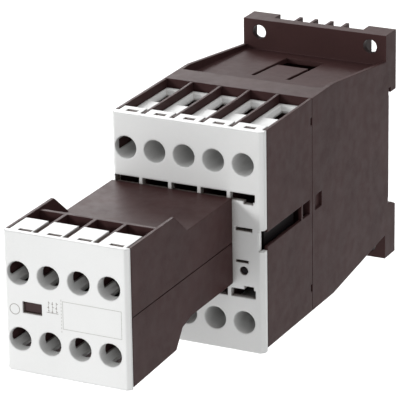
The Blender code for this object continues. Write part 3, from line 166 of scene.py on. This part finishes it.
def banded(name, colour, roughness, metallic, axis, pitch, depth):
    """Metal in fine even bands: wound wire or stacked sheets."""
    material, tree, shader = blank(name, metallic, roughness)
    wave = node(tree, "TexWave", [("bands_direction", axis)], Vector=place_of(tree),
                Scale=0.314 / (pitch * MM), Distortion=0.4, Detail=1.0, Detail_Scale=2.0).outputs["Fac"]
    dull = remap(tree, noise(tree, 2.0, 3.0), 0.3, 0.7, 0.0, 0.4)
    banding = mix(tree, remap(tree, wave, 0.0, 0.5, 0.7, 0.0), shade(colour, 1.0), shade(colour, 0.45))
    tree.links.new(mix(tree, dull, banding, shade(colour, 0.75)), shader.inputs["Base Color"])
    bump = node(tree, "Bump", Strength=0.6, Distance=depth * MM, Height=wave)
    tree.links.new(bump.outputs[0], shader.inputs["Normal"])
    return material


HOUSING = (0.048, 0.0225, 0.0220)
LOOKS = {
    "housing_plastic": moulded_plastic("housing", HOUSING, 0.46, 0.35, 0.30, 0.35),
    # The cover's last colour is the painted shade for its holes, slots and recesses.
    "cover_plastic": moulded_plastic("cover", (0.73, 0.735, 0.73), 0.42, 0.7, 0.12, 0.15, 0.02, 0.3,
                                     (0.125, 0.083, 0.060)),
    "carrier_plastic": moulded_plastic("carrier", (0.020, 0.017, 0.018), 0.5, 0.3, 0.25, 0.2),
    "slider_plastic": moulded_plastic("slider", (0.050, 0.032, 0.032), 0.48, 0.3, 0.25, 0.3),
    "bobbin_plastic": moulded_plastic("bobbin", (0.52, 0.46, 0.34), 0.5, 0.3, 0.2, 0.2, 0.05),
    "copper_winding": banded("winding", (0.62, 0.26, 0.11), 0.34, 0.85, "Y", 0.42, 0.12),
    "core_steel": banded("core", (0.40, 0.40, 0.42), 0.42, 1.0, "Z", 0.55, 0.02),
    "screw_steel": worked_metal("screw", (0.42, 0.42, 0.41), 0.42, (1, 1, 6), 0.25),
    "contact_brass": worked_metal("brass", (0.62, 0.45, 0.20), 0.36, (8, 1, 1), 0.3),
    "spring_steel": worked_metal("spring", (0.52, 0.52, 0.54), 0.32, (1, 8, 1), 0.2),
}
for part in frame["record"]["subparts"]:
    nodes[part["node"]].material_slots[0].material = LOOKS[part["material_slot"]]


# ---- mesh helpers ----------------------------------------------------------------------------
def show(name, shape, look, body, smooth=False):
    """A new piece from a bmesh in millimetres, riding on a body."""
    bmesh.ops.recalc_face_normals(shape, faces=shape.faces)
    bmesh.ops.scale(shape, vec=(MM, MM, MM), verts=shape.verts)
    mesh = bpy.data.meshes.new(name)
    shape.to_mesh(mesh)
    shape.free()
    if smooth:
        mesh.shade_smooth()
    mesh.materials.append(look)
    piece = bpy.data.objects.new(name, mesh)
    bpy.context.scene.collection.objects.link(piece)
    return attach(piece, body)


def extrude(shape, outline, vector):
    """Adds a closed solid: a flat outline of points, pushed along a vector."""
    low = [shape.verts.new(point) for point in outline]
    high = [shape.verts.new(Vector(point) + Vector(vector)) for point in outline]
    count = len(outline)
    made = [shape.faces.new(low), shape.faces.new(high[::-1])]
    for index in range(count):
        after = (index + 1) % count
        made.append(shape.faces.new([low[index], high[index], high[after], low[after]]))
    return made


def plate(shape, xs, ys, zs, bevel=0.0):
    """Adds a box with broken edges."""
    before = set(shape.edges)
    outline = [(xs[0], ys[0], zs[0]), (xs[1], ys[0], zs[0]), (xs[1], ys[1], zs[0]), (xs[0], ys[1], zs[0])]
    extrude(shape, outline, (0, 0, zs[1] - zs[0]))
    if bevel:
        edges = [edge for edge in shape.edges if edge not in before]
        bmesh.ops.bevel(shape, geom=edges, offset=bevel, segments=2, affect="EDGES", profile=0.6)


def places(name):
    """A node's box in millimetres."""
    low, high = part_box(name)
    return low / MM, high / MM


def middles(name, count):
    """The middle of each numbered node across the width."""
    boxes = [places(f"{name}_{number}") for number in range(1, count + 1)]
    return [(low.x + high.x) / 2 for low, high in boxes]


# ---- stage -----------------------------------------------------------------------------------
FLOOR_DROP = -0.30


def floor():
    """A wide pale floor below the object."""
    shape = bmesh.new()
    bmesh.ops.create_grid(shape, x_segments=8, y_segments=8, size=6.0)
    mesh = bpy.data.meshes.new("floor")
    shape.to_mesh(mesh)
    shape.free()
    material, tree, shader = blank("floor", 0.0, 0.8)
    patches = remap(tree, noise(tree, 400.0, 2.0), 0.3, 0.7, 0.0, 1.0)
    tone = mix(tree, patches, (0.90, 0.90, 0.90, 1), (0.93, 0.93, 0.93, 1))
    tree.links.new(tone, shader.inputs["Base Color"])
    mesh.materials.append(material)
    ground = bpy.data.objects.new("floor", mesh)
    ground.location = (0, 0, FLOOR_DROP)
    bpy.context.scene.collection.objects.link(ground)


def light(name, place, target, size, power):
    """A round soft light turned to a target."""
    lamp = bpy.data.lights.new(name, "AREA")
    lamp.shape = "DISK"
    lamp.size = size
    lamp.energy = power
    holder = bpy.data.objects.new(name, lamp)
    holder.location = place
    holder.rotation_euler = (Vector(target) - Vector(place)).to_track_quat("-Z", "Y").to_euler()
    bpy.context.scene.collection.objects.link(holder)


def camera():
    """The camera, turned by yaw, pitch and roll at a long focal length."""
    yaw, pitch, roll = 0.465388, 0.353512, -0.0158587
    forward = Vector((-math.sin(yaw) * math.cos(pitch), math.cos(yaw) * math.cos(pitch), -math.sin(pitch)))
    right = Vector((math.cos(yaw), math.sin(yaw), 0))
    up = right.cross(forward)
    across = right * math.cos(roll) + up * math.sin(roll)
    above = up * math.cos(roll) - right * math.sin(roll)
    lens = bpy.data.cameras.new("camera")
    lens.sensor_width = 36
    lens.lens = 282.336
    eye = bpy.data.objects.new("camera", lens)
    place = (0.357732, -0.789592, 0.300303)
    eye.matrix_world = Matrix((
        (across.x, above.x, -forward.x, place[0]),
        (across.y, above.y, -forward.y, place[1]),
        (across.z, above.z, -forward.z, place[2]),
        (0, 0, 0, 1),
    ))
    bpy.context.scene.collection.objects.link(eye)
    bpy.context.scene.camera = eye


def studio():
    """An even pale surround and three soft lights."""
    scene = bpy.context.scene
    scene.view_settings.view_transform = "Standard"
    scene.world = bpy.data.worlds.new("studio")
    scene.world.use_nodes = True
    sky = scene.world.node_tree.nodes["Background"]
    sky.inputs["Color"].default_value = (1.0, 1.0, 1.0, 1.0)
    sky.inputs["Strength"].default_value = 0.575
    middle = (0.0, -0.06, 0.0)
    light("key", (-0.9, -2.4, 0.62), middle, 0.35, 25)
    light("top", (0.0, 0.1, 1.6), middle, 1.6, 8)
    light("back", (-1.1, 1.2, 1.0), middle, 0.9, 25)


# ---- dark tabs in the covers' slots, standing in for dark plastic and painted shade seen through them ---
SIDE_WALL = 0.9             # the covers' side walls
TAB_INSET = 0.15            # gap between a tab and its slot
TAB_SUNK = 0.25             # the tabs' ends lie this far below the slot's mouth
TAB_BEVEL = 0.12


def slot_shade_tabs(name, cover, ribs, rib_half, slot, half, shift, depth, ends):
    """Dark tabs in a cover's slots, standing in for the dark plastic and painted shade seen through deep
    slots: slot is its place behind the face, half its half width.
    """
    low, high = places(cover)
    lefts = [low.x + SIDE_WALL] + [x + rib_half for x in ribs]
    rights = [x - rib_half for x in ribs] + [high.x - SIDE_WALL]
    ys = (low.y + slot[0] + TAB_INSET, low.y + slot[1] - TAB_INSET)
    shape = bmesh.new()
    for left, right in zip(lefts, rights):
        middle = (left + right) / 2 + shift
        xs = (middle - half + TAB_INSET, middle + half - TAB_INSET)
        for edge, side in ((high.z - ends[0], 1), (low.z + ends[1], -1)):
            zs = sorted((edge - side * depth, edge - side * TAB_SUNK))
            plate(shape, xs, ys, zs, TAB_BEVEL)
    show(name, shape, LOOKS["housing_plastic"], "body")


def place_slot_shade_tabs():
    """The dark tabs, partly painted shade, along the upper and lower edge of both covers."""
    columns = middles("upper_screw", 5)
    ribs = [(left + right) / 2 for left, right in zip(columns, columns[1:])]
    slot_shade_tabs("cover_snap_tabs", "front_cover", ribs, 0.4, (2.2, 3.8), 1.6, 0.4, 2.0, (0.0, 1.0))
    slot_shade_tabs("aux_snap_tabs", "aux_front_cover", ribs[:3], 0.5, (1.5, 3.0), 1.9, 1.0, 1.6, (0.1, 0.5))


# ---- marks on the auxiliary cover --------------------------------------------------------------
def ink(name, colour):
    """Faint pad-printed lines: slightly broken colour, matt."""
    material, tree, shader = blank(name, 0.0, 0.6)
    lightening = remap(tree, noise(tree, 0.5, 3.0), 0.35, 0.7, 0.0, 0.5)
    tree.links.new(mix(tree, lightening, shade(colour, 1.0), shade(colour, 1.4)), shader.inputs["Base Color"])
    return material


def front_marks():
    """A blank label field, a dashed line, a plain ring and a small pattern of contact strokes."""
    face = places("aux_front_cover")[0].y
    proud, sunk = 0.03, 0.05
    ys = (face - proud, face + sunk)

    def line(shape, x0, x1, z0, z1):
        plate(shape, (x0, x1), ys, (z0, z1))

    shape = bmesh.new()
    left, right, high, low, thick = -5.6, 11.4, 0.7, -6.85, 0.13
    for z in (high, low):
        line(shape, left, right, z - thick, z)
    line(shape, right - thick, right, low, high - thick)
    line(shape, left, left + thick, low, high - thick)
    dashes, pitch, dash = 10, 0.95, 0.5
    for step in range(dashes):
        z = high + 0.4 - step * pitch
        line(shape, left - 0.45, left - 0.3, z - dash, z)
    show("label_field", shape, ink("faint_ink", (0.42, 0.42, 0.40)), "body")

    shape = bmesh.new()
    x, z, wide = -10.2, 0.1, 0.16
    for column in range(3):
        for row in range(3):
            cx, cz = x + 0.55 + column * 1.15, z - 0.5 - row * 1.1
            line(shape, cx - wide / 2, cx + wide / 2, cz - 0.1, cz + 0.38)
            line(shape, cx - wide / 2, cx + wide / 2, cz - 0.52, cz - 0.28)
            if (column + row) % 2:
                line(shape, cx - 0.36, cx + 0.2, cz - 0.24, cz - 0.1)
            else:
                line(shape, cx + 0.1, cx + 0.42, cz - 0.06, cz + 0.08)
    line(shape, x, x + 3.4, z - 3.2, z - 3.08)
    outer, middle, sides = 1.5, (-19.6, -3.7), 40
    inner = outer - wide
    for index in range(sides):
        corners = []
        for step, radius in ((index, outer), (index + 1, outer), (index + 1, inner), (index, inner)):
            turn = 2 * math.pi * step / sides
            corners.append((middle[0] + radius * math.cos(turn), ys[0], middle[1] + radius * math.sin(turn)))
        extrude(shape, corners, (0, ys[1] - ys[0], 0))
    show("contact_marks", shape, ink("grey_ink", (0.24, 0.225, 0.21)), "body")


# ---- small details of the housings -------------------------------------------------------------
def gussets():
    """Short gussets behind the auxiliary block's ribs."""
    columns = middles("aux_upper_screw", 4)
    back = places("aux_upper_contact_2")[0].y + 2.5
    low, high, front = 11.3, 16.6, back - 0.3
    half = 0.45
    shape = bmesh.new()
    for left, right in zip(columns, columns[1:]):
        x = (left + right) / 2 - half
        outline = [(x, front, low), (x, front, high), (x, back + 0.5, high), (x, back + 1.7, low)]
        extrude(shape, outline, (2 * half, 0, 0))
    show("rib_gussets", shape, LOOKS["housing_plastic"], "body")


# ---- springs ---------------------------------------------------------------------------------
# radius of the coil, radius of the wire, turns
RETURN_COIL = (2.2, 0.3, 6.0)
LATCH_COIL = (0.85, 0.19, 8.0)
CONTACT_COIL = (1.5, 0.22, 5.0)
AUX_COIL = (0.9, 0.14, 5.0)
STEPS_A_TURN = 20
DEAD_TURNS = 0.75           # turns at each end that lie flat


def wound(name, coil, centre, start, end, axis, body):
    """A compression spring of round wire with closed ends, between two places along an axis."""
    shape = bmesh.new()
    radius, wire, turns = coil
    steps, sides, dead = int(turns * STEPS_A_TURN), 8, DEAD_TURNS
    rings = []
    for step in range(steps + 1):
        turn = turns * step / steps
        if turn < dead:
            share = 0.0
        elif turn > turns - dead:
            share = 1.0
        else:
            share = (turn - dead) / (turns - 2 * dead)
        lift = wire * (min(turn, dead) - min(turns - turn, dead) + dead) / dead
        heart = start + wire + (end - start - 4 * wire) * share + lift
        angle = 2 * math.pi * turn
        ring = []
        for side in range(sides):
            around = 2 * math.pi * side / sides
            reach = radius + wire * math.cos(around)
            spot = (centre[0] + reach * math.cos(angle), centre[1] + reach * math.sin(angle))
            along = heart + wire * math.sin(around)
            point = (spot[0], along, spot[1]) if axis == "Y" else (spot[0], spot[1], along)
            ring.append(shape.verts.new(point))
        rings.append(ring)
    for low, high in zip(rings, rings[1:]):
        for side in range(sides):
            after = (side + 1) % sides
            shape.faces.new([low[side], high[side], high[after], low[after]])
    shape.faces.new(rings[0])
    shape.faces.new(rings[-1][::-1])
    return show(name, shape, LOOKS["spring_steel"], body, smooth=True)


def springs():
    """Return springs, latch spring, and the springs behind the main and auxiliary bridges."""
    for label in ("upper", "lower"):
        low, high = places(f"return_spring_{label}")
        centre = ((low.x + high.x) / 2, (low.z + high.z) / 2)
        spring = wound(f"return_coil_{label}", RETURN_COIL, centre, low.y, high.y, "Y", "body")
        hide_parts(f"return_spring_{label}")
        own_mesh(spring)
    low, high = places("rail_latch_spring")
    centre = ((low.x + high.x) / 2, (low.y + high.y) / 2)
    spring = wound("latch_coil", LATCH_COIL, centre, low.z, high.z, "Z", "body")
    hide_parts("rail_latch_spring")
    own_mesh(spring)
    for n in range(1, 5):
        low, high = places(f"contact_bridge_{n}")
        x = (low.x + high.x) / 2
        start, end = low.y - 5.6, low.y - 0.15
        spring = wound(f"contact_spring_{n}", CONTACT_COIL, (x, 0.0), start, end, "Y", "carrier")
        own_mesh(spring)
        low, high = places(f"aux_bridge_{n}")
        x, z = (low.x + high.x) / 2, (low.z + high.z) / 2
        ends = (high.y + 0.1, high.y + 3.2) if n in (2, 3) else (low.y - 3.2, low.y - 0.1)
        wound(f"aux_spring_{n}", AUX_COIL, (x, z), ends[0], ends[1], "Y", "aux_carriage")


# ---- magnet ----------------------------------------------------------------------------------
def dome(shape, x, y, z, up):
    """A rivet's flat domed head on a face that looks up or down."""
    radius, height, sides = 1.2, 0.45, 16
    levels = ((radius, -0.1), (radius, 0.1), (radius * 0.8, height * 0.8), (radius * 0.4, height))
    turns = [2 * math.pi * side / sides for side in range(sides)]
    rings = []
    for reach, rise in levels:
        points = [(x + reach * math.cos(turn), y + reach * math.sin(turn), z + up * rise) for turn in turns]
        rings.append([shape.verts.new(point) for point in points])
    for low, high in zip(rings, rings[1:]):
        for side in range(sides):
            after = (side + 1) % sides
            shape.faces.new([low[side], high[side], high[after], low[after]])
    shape.faces.new(rings[0])
    shape.faces.new(rings[-1])


def magnet_details():
    """Rivets through the sheets of core and armature, and shading rings in the outer poles."""
    low, high = places("magnet_core")
    shape = bmesh.new()
    for x in (-15.0, 15.0):
        for y in (high.y - 2.8, low.y + 5.0):
            dome(shape, x, y, high.z, 1)
            dome(shape, x, y, low.z, -1)
    show("core_rivets", shape, LOOKS["screw_steel"], "body", smooth=True)
    shape = bmesh.new()
    for side in (-1, 1):
        xs = sorted((side * 12.8, side * 15.6))
        ys = (low.y - 0.12, low.y + 0.5)
        for z0, z1 in ((-4.6, -3.6), (3.6, 4.6)):
            plate(shape, xs, ys, (z0, z1), 0.1)
        for x0 in (xs[0], xs[1] - 0.8):
            plate(shape, (x0, x0 + 0.8), ys, (-3.6, 3.6), 0.1)
    show("shading_rings", shape, LOOKS["contact_brass"], "body")
    low, high = places("armature")
    shape = bmesh.new()
    for x in (-14.0, 14.0):
        dome(shape, x, (low.y + high.y) / 2, high.z, 1)
        dome(shape, x, (low.y + high.y) / 2, low.z, -1)
    show("armature_rivets", shape, LOOKS["screw_steel"], "carrier", smooth=True)


place_slot_shade_tabs()
front_marks()
gussets()
springs()
magnet_details()
camera()
studio()
floor()
